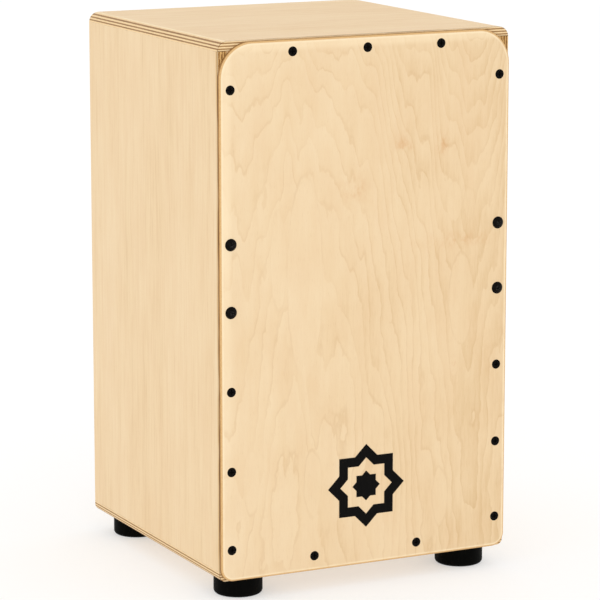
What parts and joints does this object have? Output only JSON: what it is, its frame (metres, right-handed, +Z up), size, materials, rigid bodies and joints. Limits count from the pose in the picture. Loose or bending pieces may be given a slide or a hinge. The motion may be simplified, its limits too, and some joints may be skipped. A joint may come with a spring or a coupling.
{
  "type": "cajon",
  "caption": "Upright box drum of pale birch plywood with a screwed striking plate, rear sound hole, inner snares and round rubber feet.",
  "frame": {"origin": "on the floor, at the middle of the footprint (the domed screw heads count in the footprint)", "axes": "+Z up, -Y the way the striking plate faces, +Y the way the sound hole faces, +X to the right seen from the front"},
  "size_m": [0.3, 0.3024, 0.52],
  "materials": {
    "birch_seat": "satin clear-lacquered birch plywood, light and dark plies on its rounded ends",
    "birch_bottom": "satin clear-lacquered birch plywood, light and dark plies on its rounded ends",
    "birch_side": "satin clear-lacquered birch plywood, straight upright grain",
    "birch_rear": "satin clear-lacquered birch plywood, upright grain",
    "birch_plate": "satin clear-lacquered birch veneer, upright figured grain",
    "pine_batten": "sawn unlacquered pine",
    "birch_rail": "unlacquered birch plywood",
    "snare_brass": "brushed brass plate",
    "snare_steel": "bright coiled steel wire",
    "black_screw": "black phosphated steel, satin",
    "zinc_screw": "bright zinc-plated steel",
    "foot_rubber": "matt black moulded rubber",
    "emblem_ink": "matt black screen-printed ink"
  },
  "bodies": {
    "root": {"top_panel": "birch_seat", "bottom_panel": "birch_bottom", "left_side_panel": "birch_side", "right_side_panel": "birch_side", "rear_panel": "birch_rear", "front_plate": "birch_plate", "front_batten_left": "pine_batten", "front_batten_right": "pine_batten", "front_batten_top": "pine_batten", "front_batten_bottom": "pine_batten", "rear_batten_left": "pine_batten", "rear_batten_right": "pine_batten", "rear_batten_top": "pine_batten", "rear_batten_bottom": "pine_batten", "corner_block_top_left": "pine_batten", "corner_block_top_right": "pine_batten", "corner_block_bottom_left": "pine_batten", "corner_block_bottom_right": "pine_batten", "snare_block_left": "pine_batten", "snare_block_right": "pine_batten", "snare_rail": "birch_rail", "snare_plate_left": "snare_brass", "snare_plate_right": "snare_brass", "snare_wires_left": "snare_steel", "snare_wires_right": "snare_steel", "plate_flush_screws": "black_screw", "plate_domed_screws": "black_screw", "rail_screws": "zinc_screw", "snare_screws": "zinc_screw", "foot_screws": "zinc_screw", "foot_washers": "zinc_screw", "foot_front_left": "foot_rubber", "foot_front_right": "foot_rubber", "foot_rear_left": "foot_rubber", "foot_rear_right": "foot_rubber", "front_emblem": "emblem_ink"}
  },
  "joints": []
}
